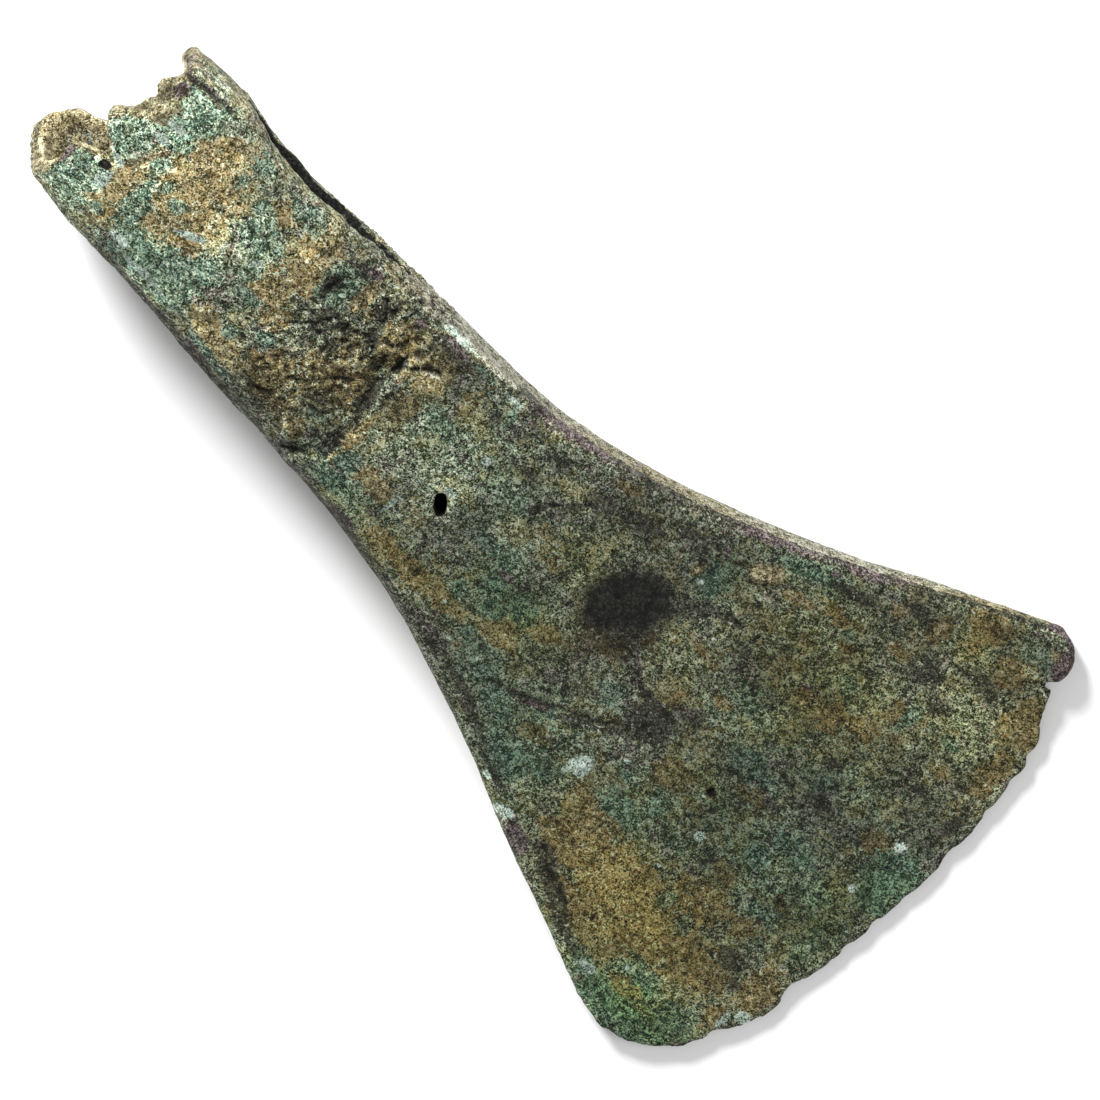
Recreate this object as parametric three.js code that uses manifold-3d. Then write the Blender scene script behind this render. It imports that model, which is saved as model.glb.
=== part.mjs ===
// Ancient bronze axe head, cast in one piece: a hollow socket for the haft, broken at its mouth,
// and a solid wedge of a blade that flares to a wide, nibbled cutting edge.
// Millimetres. +X runs from the mouth to the cutting edge, +Y across the blade, +Z up.
// The head lies on its back face, the plane Z = 0; the origin is under the middle of its box.
// Its low side is the one towards -Y, its high side the one towards +Y.

import * as THREE from 'three';
import { mergeVertices } from 'three/addons/utils/BufferGeometryUtils.js';
import Module from 'manifold-3d';

const { lerp, smoothstep } = THREE.MathUtils;

// Driving dimensions. The head is laid out upright, about the middle plane of its wedge, z = 0,
// with the front face on +z, and is laid down on its back face at the end.
const WEDGE_X = 44; // the socket turns into the wedge here
const WEDGE_DEPTH = 17.2; // outer depth there, front face to back face
const EDGE_X = 146.6; // furthest point of the cutting edge
const EDGE_THICKNESS = 1.3; // the worn cutting edge
const CORNER_THICKNESS = 3.4; // the hooked corner of the blade is thicker
const REST_FLAT = 0.5; // depth of the worn flat spot on the back, where the head rests
const FAN_X = 118; // from here the blade's rows fan out to the round of the edge
const WALL = 2.4; // wall of the socket
// Flat inner end of the socket, where the haft bottoms: its place, depth and sides, how far the
// core sat towards the front there, and the length over which the socket closes down to it.
const CAVITY_END = { x: 71, depth: 5.2, low: -11.8, high: 8.6, lift: 0.6, run: 47 };
const CROWN = 0.07; // crown of both faces, as a share of half the depth
// The casting skin steps up across the front of the neck, over a short width. It dies out along
// the blade between two distances past the step, and across the neck between two values of y.
const STEP = { x: 50, width: 2, rise: 0.8, dies: [4, 24], across: [1, 9] };

// Outer depth along the head, as [x, depth]: a socket that hardly tapers, then a hollow wedge.
const DEPTH = [
  [-2, 18.4], [30, 17.8], [WEDGE_X, WEDGE_DEPTH], [56, 14.5], [68, 11.8], [80, 9.6], [92, 7.9],
  [104, 6.6], [FAN_X, 5.2], [130, 3.6], [140, 2.2], [EDGE_X, EDGE_THICKNESS],
];

// Plan of the head, as [x, y]: its two long sides, and the round of the edge between them.
const LOW_SIDE = [
  [-2, -11.3], [2, -12.1], [9, -12.9], [20, -13.3], [32, -14.4], [45, -15], [56, -15.8],
  [66, -17.1], [75, -19.1], [84, -21.9], [94, -25.4], [105, -30.1], [FAN_X, -34.9],
];
const HIGH_SIDE = [
  [-2, 13.7], [3, 14.3], [9, 15], [13, 14.8], [17, 13.7], [23, 13], [30, 13.3], [40, 13.8],
  [54, 13.7], [67, 13.9], [74, 14.9], [81, 16.5], [88, 18.6], [96, 21.6], [104, 25],
  [112, 28.8], [FAN_X, 32.2],
];
const EDGE_PLAN = [
  [127, -38.4], [131, -39.4], [134.5, -39.2], [138.1, -37.6], [141, -35], [142.7, -32],
  [143.6, -28.7], [145.2, -26], [146.2, -21.8], [146, -17], [146.3, -11.5], [146.5, -6.8],
  [146.5, -2.7], [EDGE_X, 2.6], [146.1, 8], [145.9, 12], [145, 17], [144.3, 21.8], [143.3, 25.6],
  [141.2, 29], [138.7, 31.8], [138.4, 36], [136.6, 38.7], [133.4, 39.8],
];

// Radius of the long corners along x: a broad turn at the socket's low side, crisp at the blade,
// and crisper on the front of the high side than on its back.
const LOW_RADIUS = [[0, 7.6], [45, 7], [62, 4.6], [80, 2.2], [95, 1.2], [FAN_X, 0.9]];
const HIGH_RADIUS = [
  [0, 4.4], [20, 4.2], [45, 4], [62, 3.6], [80, 2.4], [95, 1.2], [FAN_X, 0.9],
];
const HIGH_FRONT_RADIUS = [[0, 3.4], [20, 2.8], [38, 2.2], [50, 1.4], [80, 1], [FAN_X, 0.9]];
// The high side is widest along its casting seam, z = 0. Its front and back corners lie this much
// further in.
const FRONT_LEAN = [[46, 0], [60, 0.15], [92, 0.45], [FAN_X, 0.4]];
const BACK_LEAN = [[0, 2.4], [46, 2.4], [60, 1.9], [75, 1.5], [92, 1.1], [FAN_X, 0.8]];

// Broken rim of the mouth, as [y, x], on the front wall and on the back wall, and how far the
// front wall's inner lip stands out past its outer one.
const FRONT_RIM = [
  [-12, -0.9], [-6, -1], [-2.8, -0.9], [-1.6, 1.8], [0.2, 1.6], [1.4, -0.7], [4.2, -0.9],
  [6.2, 1.9], [8.4, 3], [10.4, 3], [11.6, 1.4], [13.4, 2.2],
];
const BACK_RIM = [
  [-12.2, 0], [-10.8, -2.7], [-8.6, -2.7], [-6.6, -1.5], [-4, 0.3], [-2.4, 3.4], [1, 5.6],
  [6, 6.4], [10.4, 5.4], [12.2, 3.4], [13.4, 2.4],
];
const FRONT_LIP = [[-12, -0.3], [3, -0.3], [6, 1.5], [10.6, 1.9], [12.4, 0.4], [13.4, 0]];

// Cuts: a long gash in the high side of the socket, two casting holes in its front wall, and
// bites out of the cutting edge.
const GASH = { from: 11.5, to: 42, widest: 24, middle: 2.2, height: 4.6, y: 17, reach: 7.5 };
const HOLES = [
  { x: 3.5, y: -2.3, size: [1.6, 1.3], turn: 0.5, sides: 5 },
  { x: 65.9, y: -4, size: [1.7, 3.6], turn: 0.81, sides: 12 },
];
const HOLE_SINK = 5; // depth of the holes below the crest of the face
// Bites, as [x, y, radius]: how far in each one reaches, and its radius. Their middles lie
// straight out from the blade's own middle.
const BITES = [
  [140.3, -35.4, 1.3], [142.2, -32.2, 1.5], [143.1, -29, 1.8], [145.4, -17.3, 3.4],
  [146.05, -9.2, 2.4], [146, -4.6, 1.8], [146.25, 0.3, 1.2], [145.75, 8, 3.6], [144.95, 15.4, 1.6],
  [144.1, 20.4, 1.5], [143.15, 24.4, 1.4], [140.9, 28.8, 1.1],
];
const BITES_FACE = [104, 0];
const BITE_SIDES = 20;
// Lump on the hooked corner, as a disc that is long the way the corner turns, and the round
// notch between it and the edge.
const HOOK = { at: [135.5, 36.3, 0.4], radii: [3.7, 2.8, 1.6], turn: -0.873 };
const HOOK_SIDES = 18;
const HOOK_BANDS = 10;
const HOOK_NOTCH = { at: [138.1, 33.4], radius: 0.9 };
const CUTTER_LENGTH = 12; // longer than anything it cuts is deep

// Points across one face, and round each of its corners. A section's ring runs from the high
// side over the front face to the low side, and back over the back face.
const FACE_STEPS = 24;
const CORNER_STEPS = 4;
const CORNER_FULLNESS = 0.96; // a corner takes at most this share of the side's height
const HALF_RING = FACE_STEPS + 2 * CORNER_STEPS + 2;
const RING = 2 * HALF_RING;

// Rows of the skin along the head: shares of the way from the rim to RIM_END, then stations in x,
// and shares of the way from FAN_X to the cutting edge.
const RIM_END = 26;
const RIM_SHARES = [0, 0.08, 0.2, 0.38, 0.62, 1];
const RIM_MEET = 3; // the front and back rims meet over this many points from either side
const STATIONS = [
  36, WEDGE_X, STEP.x - STEP.width / 2, STEP.x + STEP.width / 2, 57, 63, 69, 75, 81, 88, 95, 102, 110,
];
const FAN_SHARES = [0, 0.3, 0.58, 0.8, 0.93, 1];
const CAVITY_STATIONS = [CAVITY_END.x, 64, 56, 46, 36];

// Along the edge, counted from the low corner to the hooked one: the share that either side's
// corner takes, the length over which the low corner thickens and how far it does, and the
// place from which the hook thickens.
const CORNER_SHARE = 0.015;
const LOW_CORNER = { length: 0.1, body: 0.7 };
const HOOK_FROM = 0.82;

// A smooth curve through pairs of numbers, level past its ends.
function through(pairs) {
  const cubic = new THREE.CubicInterpolant(
    pairs.map((pair) => pair[0]), pairs.map((pair) => pair[1]), 1, new Float32Array(1));
  return (at) => cubic.evaluate(at)[0];
}

const depthAt = through(DEPTH);
const lowSide = through(LOW_SIDE);
const highSide = through(HIGH_SIDE);
const lowRadius = through(LOW_RADIUS);
const highRadius = through(HIGH_RADIUS);
const highFrontRadius = through(HIGH_FRONT_RADIUS);
const frontLean = through(FRONT_LEAN);
const backLean = through(BACK_LEAN);
const frontRim = through(FRONT_RIM);
const backRim = through(BACK_RIM);
const frontLip = through(FRONT_LIP);
const edgePlan = new THREE.CatmullRomCurve3(
  EDGE_PLAN.map(([x, y]) => new THREE.Vector3(x, y, 0)), false, 'centripetal');

// The plane that the head rests on, from the flat spot on the socket's back to the cutting edge.
const REST_SLOPE = (WEDGE_DEPTH / 2 - REST_FLAT - EDGE_THICKNESS / 2) / (EDGE_X - WEDGE_X);
const restPlane = (x) => -EDGE_THICKNESS / 2 - REST_SLOPE * (EDGE_X - x);

// Height of the skin that steps up across the neck's front and dies out along the blade.
function stepAt(x, y) {
  const past = x - STEP.x;
  const rise = smoothstep(past, -STEP.width / 2, STEP.width / 2);
  const left = (1 - smoothstep(past, ...STEP.dies)) * (1 - smoothstep(y, ...STEP.across));
  return STEP.rise * rise * left;
}

// Place of ring point j counted from the high side, on either face.
const placeOf = (j) => (j <= HALF_RING ? j : RING - j);
const isFront = (j) => j <= HALF_RING;

// One half of a rounded box section. z is counted up from the middle plane.
function halfSection(place, low, high, halfDepth, lowCorner, highCorner) {
  const sideTop = halfDepth * (1 - CROWN);
  const highR = Math.min(highCorner, sideTop * CORNER_FULLNESS);
  const lowR = Math.min(lowCorner, sideTop * CORNER_FULLNESS);
  const quarter = (step) => (step / CORNER_STEPS) * (Math.PI / 2);
  if (place === 0) return [high, 0];
  if (place === HALF_RING) return [low, 0];
  if (place <= CORNER_STEPS) {
    const turn = quarter(place - 1);
    return [high - highR * (1 - Math.cos(turn)), sideTop - highR * (1 - Math.sin(turn))];
  }
  if (place >= HALF_RING - CORNER_STEPS) {
    const turn = quarter(HALF_RING - 1 - place);
    return [low + lowR * (1 - Math.cos(turn)), sideTop - lowR * (1 - Math.sin(turn))];
  }
  const share = (place - CORNER_STEPS - 1) / FACE_STEPS;
  const y = lerp(high - highR, low + lowR, share);
  return [y, halfDepth * (1 - CROWN * (2 * share - 1) ** 2)];
}

// How far in a point at y lies, at a height z above or below the high side's seam.
function leanAt(x, y, z) {
  const share = Math.max(0, y / highSide(x));
  return ((z > 0 ? frontLean(x) : backLean(x)) * share * Math.abs(z)) / (depthAt(x) / 2);
}

// Point j of the outer skin at x.
function outerPoint(x, j) {
  const half = depthAt(x) / 2;
  const highCorner = isFront(j) ? highFrontRadius(x) : highRadius(x);
  const [y, z] = halfSection(
    placeOf(j), lowSide(x), highSide(x), half, lowRadius(x), highCorner);
  if (!isFront(j)) return [x, y - leanAt(x, y, -z), Math.max(-z, restPlane(x))];
  return [x, y - leanAt(x, y, z), z + (z > half / 2 ? stepAt(x, y) : 0)];
}

// Point j of the cavity's skin at x: the wall's thickness inside the outer skin, and closing
// down towards the cavity's flat end.
function innerPoint(x, j) {
  const closing = smoothstep(x, CAVITY_END.x - CAVITY_END.run, CAVITY_END.x);
  const half = lerp(depthAt(x) / 2 - WALL, CAVITY_END.depth / 2, closing);
  const low = lerp(lowSide(x) + WALL, CAVITY_END.low, closing);
  const high = lerp(highSide(x) - WALL, CAVITY_END.high, closing);
  const [y, z] = halfSection(
    placeOf(j), low, high, half, lowRadius(x) - WALL / 2, highRadius(x) - WALL / 2);
  const side = isFront(j) ? z : -z;
  return [x, y - leanAt(x, y, side) * (1 - closing), side + CAVITY_END.lift * closing];
}

// Where the break cuts the wall at ring point j. The front and back rims meet at the sides.
function rimAt(j, onInside) {
  const y = outerPoint(0, j)[1];
  const fromSide = Math.min(placeOf(j), HALF_RING - placeOf(j));
  const own = isFront(j) ? frontRim(y) : backRim(y);
  const shared = (frontRim(y) + backRim(y)) / 2;
  const x = lerp(shared, own, smoothstep(fromSide, 0, RIM_MEET));
  return onInside && isFront(j) ? x - frontLip(y) : x;
}

// Point j of the rows that fan out from the section at FAN_X to the cutting edge. The edge lies
// on the middle plane; the hooked corner's extra thickness is all on the front.
function fanPoint(share, j) {
  const from = outerPoint(FAN_X, j);
  const place = placeOf(j);
  const onFace = THREE.MathUtils.clamp((place - CORNER_STEPS - 1) / FACE_STEPS, 0, 1);
  const fromSide = Math.min(1, Math.min(place, HALF_RING - place) / (CORNER_STEPS + 1));
  const inCorner = (1 - fromSide) * CORNER_SHARE * (place < HALF_RING / 2 ? -1 : 1);
  const along = 1 - (lerp(CORNER_SHARE, 1 - CORNER_SHARE, onFace) + inCorner);
  const to = edgePlan.getPointAt(along);
  const towardsLow = 1 - smoothstep(along, 0, LOW_CORNER.length);
  const towardsHook = smoothstep(along, HOOK_FROM, 1);
  const body = Math.max(towardsLow * LOW_CORNER.body, towardsHook);
  const back = -lerp(EDGE_THICKNESS, depthAt(to.x), body) / 2;
  const front = lerp(-back, back + CORNER_THICKNESS, towardsHook);
  const round = Math.sqrt(1 - (1 - fromSide) ** 2);
  const z = lerp((front + back) / 2, isFront(j) ? front : back, round);
  return [lerp(from[0], to.x, share), lerp(from[1], to.y, share), lerp(from[2], z, share)];
}

// The skin is one tube of rings: from the cavity's end out to the rim, and on over the outside
// to the cutting edge. Both its ends are sewn flat, front half to back half.
function castSkin() {
  const ring = (point) => Array.from({ length: RING }, (_, j) => point(j));
  const rows = [
    ...CAVITY_STATIONS.map((x) => ring((j) => innerPoint(x, j))),
    ...RIM_SHARES.toReversed().map((share) =>
      ring((j) => innerPoint(lerp(rimAt(j, true), RIM_END, share), j))),
    ...RIM_SHARES.map((share) =>
      ring((j) => outerPoint(lerp(rimAt(j, false), RIM_END, share), j))),
    ...STATIONS.map((x) => ring((j) => outerPoint(x, j))),
    ...FAN_SHARES.map((share) => ring((j) => fanPoint(share, j))),
  ];
  const faces = [];
  for (let row = 0; row + 1 < rows.length; row += 1) {
    for (let j = 0; j < RING; j += 1) {
      const here = row * RING + j;
      const beside = row * RING + ((j + 1) % RING);
      faces.push(here, beside, beside + RING, here, beside + RING, here + RING);
    }
  }
  const last = (rows.length - 1) * RING;
  for (let a = 0; a < HALF_RING; a += 1) {
    const b = a + 1;
    const [acrossA, acrossB] = [RING - a, RING - b];
    if (a > 0) faces.push(a, acrossA, b, last + a, last + b, last + acrossA);
    if (b < HALF_RING) {
      const corner = a > 0 ? acrossA : a;
      faces.push(b, corner, acrossB, last + b, last + acrossB, last + corner);
    }
  }
  const geometry = new THREE.BufferGeometry();
  geometry.setAttribute('position', new THREE.Float32BufferAttribute(rows.flat(2), 3));
  geometry.setIndex(faces);
  return geometry;
}

// A gash through the socket's high side: a long lens, pointed at both ends.
function gashCutter() {
  const lens = new THREE.Shape();
  lens.moveTo(GASH.from, GASH.middle);
  lens.quadraticCurveTo(GASH.widest, GASH.middle + GASH.height, GASH.to, GASH.middle);
  lens.quadraticCurveTo(GASH.widest, GASH.middle - GASH.height, GASH.from, GASH.middle);
  const cutter = new THREE.ExtrudeGeometry(
    lens, { depth: GASH.reach, bevelEnabled: false, curveSegments: 9 });
  return cutter.rotateX(Math.PI / 2).translate(0, GASH.y, 0);
}

// A hole through the socket's front wall alone.
function holeCutter({ x, y, size, turn, sides }) {
  const middle = depthAt(x) / 2 - HOLE_SINK + CUTTER_LENGTH / 2;
  const cutter = new THREE.CylinderGeometry(0.5, 0.5, CUTTER_LENGTH, sides);
  cutter.rotateX(Math.PI / 2).scale(size[0], size[1], 1);
  return cutter.rotateZ(turn).translate(x, y, middle);
}

// A round bite out of the cutting edge.
function roundCutter([x, y], radius) {
  const cutter = new THREE.CylinderGeometry(radius, radius, CUTTER_LENGTH, BITE_SIDES);
  return cutter.rotateX(Math.PI / 2).translate(x, y, 0);
}

function biteCutter([x, y, radius]) {
  const reach = new THREE.Vector2(x, y);
  const out = reach.clone().sub(new THREE.Vector2(...BITES_FACE)).setLength(radius);
  return roundCutter(reach.add(out).toArray(), radius);
}

function hookLump() {
  const lump = new THREE.SphereGeometry(1, HOOK_SIDES, HOOK_BANDS).scale(...HOOK.radii);
  return lump.rotateZ(HOOK.turn).translate(...HOOK.at);
}

const wasm = await Module();
wasm.setup();

function solid(geometry) {
  const bare = geometry.clone();
  bare.deleteAttribute('normal');
  bare.deleteAttribute('uv');
  const merged = mergeVertices(bare, 1e-4);
  return new wasm.Manifold(new wasm.Mesh({
    numProp: 3,
    vertProperties: new Float32Array(merged.getAttribute('position').array),
    triVerts: new Uint32Array(merged.getIndex().array),
  }));
}

function castHead() {
  let head = solid(castSkin()).add(solid(hookLump())).subtract(solid(gashCutter()));
  for (const hole of HOLES) head = head.subtract(solid(holeCutter(hole)));
  for (const bite of BITES) head = head.subtract(solid(biteCutter(bite)));
  return head.subtract(solid(roundCutter(HOOK_NOTCH.at, HOOK_NOTCH.radius)));
}

// Lays the head down: the plane that it rests on turns level and becomes Z = 0.
function layDown(geometry) {
  geometry.rotateY(Math.atan(REST_SLOPE)).computeBoundingBox();
  const { min, max } = geometry.boundingBox;
  return geometry.translate(-(min.x + max.x) / 2, -(min.y + max.y) / 2, -min.z);
}

const cast = castHead().getMesh();
const geometry = new THREE.BufferGeometry();
geometry.setAttribute('position', new THREE.BufferAttribute(cast.vertProperties, 3));
geometry.setIndex(new THREE.BufferAttribute(cast.triVerts, 1));
layDown(geometry).computeVertexNormals();

const bronze = new THREE.MeshStandardMaterial({
  color: 0x5a5f45, roughness: 0.85, metalness: 0.35,
});
const axeHead = new THREE.Mesh(geometry, bronze);
axeHead.name = 'axe_head';

const part = new THREE.Group();
part.add(axeHead);
export default part;
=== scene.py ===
import math

import bpy
import numpy as np
from mathutils import Matrix, Vector, noise


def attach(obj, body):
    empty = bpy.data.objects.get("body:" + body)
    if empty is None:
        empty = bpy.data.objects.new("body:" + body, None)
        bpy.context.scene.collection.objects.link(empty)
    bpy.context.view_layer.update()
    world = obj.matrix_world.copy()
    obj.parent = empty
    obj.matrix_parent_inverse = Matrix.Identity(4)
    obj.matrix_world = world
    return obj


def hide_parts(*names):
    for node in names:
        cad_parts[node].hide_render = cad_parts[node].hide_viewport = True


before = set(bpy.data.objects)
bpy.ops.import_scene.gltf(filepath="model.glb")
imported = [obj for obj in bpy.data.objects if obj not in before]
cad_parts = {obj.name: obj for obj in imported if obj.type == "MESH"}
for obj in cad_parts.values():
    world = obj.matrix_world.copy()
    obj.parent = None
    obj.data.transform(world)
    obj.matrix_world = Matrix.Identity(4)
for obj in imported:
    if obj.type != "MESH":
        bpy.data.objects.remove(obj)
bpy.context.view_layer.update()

# The cast bronze head, one piece: a hollow socket for the haft, broken at its mouth, and a solid
# blade. It was cast in a two-piece mould and has corroded, so its skin is granular and pitted,
# rough and cracked over the haft end and finer over the blade. The relief is worked into a fine
# copy of the solid.

MM = 0.001
SKIN_VOXEL = 0.5 * MM

bpy.ops.object.select_all(action="DESELECT")
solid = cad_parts["axe_head"]
head = solid.copy()
head.data = solid.data.copy()
head.name = "bronze_head"
head.parent = None
bpy.context.scene.collection.objects.link(head)
bpy.context.view_layer.objects.active = head
head.select_set(True)
bpy.ops.object.mode_set(mode="EDIT")
bpy.ops.mesh.select_all(action="SELECT")
bpy.ops.mesh.remove_doubles(threshold=0.004 * MM)
bpy.ops.object.mode_set(mode="OBJECT")

fine_skin = head.modifiers.new("fine_skin", "REMESH")
fine_skin.mode = "VOXEL"
fine_skin.voxel_size = SKIN_VOXEL
bpy.ops.object.modifier_apply(modifier="fine_skin")
worn = head.modifiers.new("worn", "SMOOTH")
worn.factor = 0.5
worn.iterations = 2
bpy.ops.object.modifier_apply(modifier="worn")

# The features are placed on the head as it stands square, in millimetres: x from the mouth to
# the cutting edge, y across the blade, z up out of the front. It lies tilted on its back, with
# the thick socket raising the mouth's end, so these are turned to and fro.
LIE_SLOPE = 0.07261
LIE = math.atan(LIE_SLOPE)
SQUARE_MIDDLE = (71.391, 0.170)
SQUARE_BASE = -11.265


def turned(directions):
    x, y, z = directions.T
    return np.stack([x * math.cos(LIE) - z * math.sin(LIE), y,
                     x * math.sin(LIE) + z * math.cos(LIE)], 1)


def squared(points):
    return turned(points / MM + (*SQUARE_MIDDLE, SQUARE_BASE))


def laid_down(square):
    x, y, z = square.T
    return np.stack([
        (x * math.cos(LIE) + z * math.sin(LIE) - SQUARE_MIDDLE[0]) * MM,
        (y - SQUARE_MIDDLE[1]) * MM,
        (-x * math.sin(LIE) + z * math.cos(LIE) - SQUARE_BASE) * MM], 1)


def ramp(value, low, high):
    t = np.clip((value - low) / (high - low), 0, 1)
    return t * t * (3 - 2 * t)


def skin_points():
    co = np.empty(len(head.data.vertices) * 3, np.float32)
    head.data.vertices.foreach_get("co", co)
    return co.reshape(-1, 3).astype(float)


def skin_normals():
    normals = np.empty(len(head.data.vertices) * 3, np.float32)
    head.data.vertices.foreach_get("normal", normals)
    return normals.reshape(-1, 3).astype(float)


def set_skin(points):
    points = points.copy()
    points[:, 2] = np.maximum(points[:, 2], 0)
    head.data.vertices.foreach_set("co", points.astype(np.float32).ravel())
    head.data.update()


square = squared(skin_points())
facing = turned(skin_normals())
x, y, z = square.T

# The cast skin steps up across the front of the neck along an uneven line, with a lit rim.
STEP_LINE = [(-16, 47.6), (-12, 48.4), (-9.5, 50.6), (-7, 50.9), (-4, 50.2), (-1, 49.6),
             (2, 48.8), (5, 48.6), (7.5, 49.4), (9.5, 50.6), (13, 50.8)]
STEP_RISE = 0.8
STEP_WAVER = 0.5
step_at = np.interp(y, [p[0] for p in STEP_LINE], [p[1] for p in STEP_LINE])
step_at = step_at + STEP_WAVER * np.array([noise.noise(Vector((a * 0.9, b * 0.9, 3.0)))
                                           for a, b in zip(x, y)])
on_front = ramp(facing[:, 2], 0.15, 0.55) * (z > 2)
past = x - step_at
plain_step = ramp(x, 49, 51) * (1 - ramp(x, 54, 74)) * (1 - ramp(y, 1, 9))
torn_step = ramp(past, -1.0, 0.9) * (1 - ramp(x, 54, 74)) * (1 - ramp(y, 3, 11))
lip = 0.16 * np.exp(-((past - 0.7) / 0.6) ** 2) - 0.08 * np.exp(-((past + 0.8) / 0.6) ** 2)
z = z + on_front * (STEP_RISE * (torn_step - plain_step) + lip * (1 - ramp(y, 4, 12)))
set_skin(laid_down(np.stack([x, y, z], 1)))

# The socket's lining faces its middle line, its inner end faces the haft, and so does the break.
SOCKET_DEPTH = 71.0
SOCKET_MIDDLE_Y = 0.3
from_middle = np.hypot(y - SOCKET_MIDDLE_Y, z)
to_middle = -(facing[:, 1] * (y - SOCKET_MIDDLE_Y) + facing[:, 2] * z) / from_middle
lining = ramp(to_middle, 0.0, 0.35) * (x < SOCKET_DEPTH - 0.4)
inner_end = (facing[:, 0] < -0.5) * (x > 60) * (x < SOCKET_DEPTH + 2) * (np.abs(z) < 4)
lining = np.maximum(lining, inner_end)
broken = ramp(-facing[:, 0], 0.25, 0.6) * (x < 9)

# Vertex groups say how rough the skin is: crusted over the haft end, torn round the mouth, finer
# over the blade.
WEIGHT_LEVELS = 20


def weigh(name, weights):
    group = head.vertex_groups.new(name=name)
    levels = np.round(np.clip(weights, 0, 1) * WEIGHT_LEVELS).astype(int)
    for level in range(1, WEIGHT_LEVELS + 1):
        members = [int(i) for i in np.nonzero(levels == level)[0]]
        group.add(members, level / WEIGHT_LEVELS, "REPLACE")


# The two casting holes, where the skin stays plain: one beside the mouth and one in the neck.
BUTT_HOLE = (3.5, -2.3)
NECK_HOLE = (65.9, -4.0)
clear_of_holes = ramp(np.hypot(x - BUTT_HOLE[0], y - BUTT_HOLE[1]), 1.3, 2.8)
clear_of_holes = clear_of_holes * ramp(np.hypot(x - NECK_HOLE[0], y - NECK_HOLE[1]), 1.8, 3.2)
rough_end = 1 - ramp(x, 47, 58)
cake = ramp(x, 27, 38) * (1 - ramp(x, 48, 52)) * ramp(y, -13, -6)
weigh("haft_end", rough_end * clear_of_holes)
weigh("caked", (0.25 + 0.75 * cake) * rough_end)
weigh("blade", (1 - rough_end) * (0.55 + 0.45 * ramp(x, 100, 140)) * clear_of_holes)
weigh("mouth", (1 - ramp(x, 3, 11)) * clear_of_holes)


def relieve(name, kind, size, height, group, **settings):
    texture = bpy.data.textures.new(name, kind)
    texture.noise_scale = size
    for key, value in settings.items():
        setattr(texture, key, value)
    swell = head.modifiers.new(name, "DISPLACE")
    swell.texture = texture
    swell.texture_coords = "LOCAL"
    swell.direction = "NORMAL"
    swell.strength = height
    swell.mid_level = 0.5
    swell.vertex_group = group
    bpy.ops.object.modifier_apply(modifier=name)


relieve("haft_lumps", "CLOUDS", 4.8 * MM, 0.6 * MM, "haft_end", noise_depth=2)
relieve("caked_crust", "DISTORTED_NOISE", 1.6 * MM, 0.42 * MM, "caked", distortion=1.5)
relieve("caked_crumbs", "CLOUDS", 0.9 * MM, 0.32 * MM, "caked", noise_depth=1)
relieve("torn_mouth", "CLOUDS", 1.8 * MM, 0.4 * MM, "mouth", noise_depth=1)
relieve("blade_waves", "CLOUDS", 5.5 * MM, 0.36 * MM, "blade", noise_depth=2)
relieve("blade_crust", "CLOUDS", 1.2 * MM, 0.26 * MM, "blade", noise_depth=2)

square = squared(skin_points())
facing = turned(skin_normals())
x, y, z = square.T
on_front = ramp(facing[:, 2], 0.1, 0.5) * (z > 0)


# Distance of every point from a line drawn on the front.
def from_line(points):
    nearest = np.full(len(x), 1e3)
    for (ax, ay), (bx, by) in zip(points, points[1:]):
        run = (bx - ax) ** 2 + (by - ay) ** 2
        t = np.clip(((x - ax) * (bx - ax) + (y - ay) * (by - ay)) / run, 0, 1)
        nearest = np.minimum(nearest, np.hypot(x - ax - t * (bx - ax), y - ay - t * (by - ay)))
    return nearest


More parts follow.
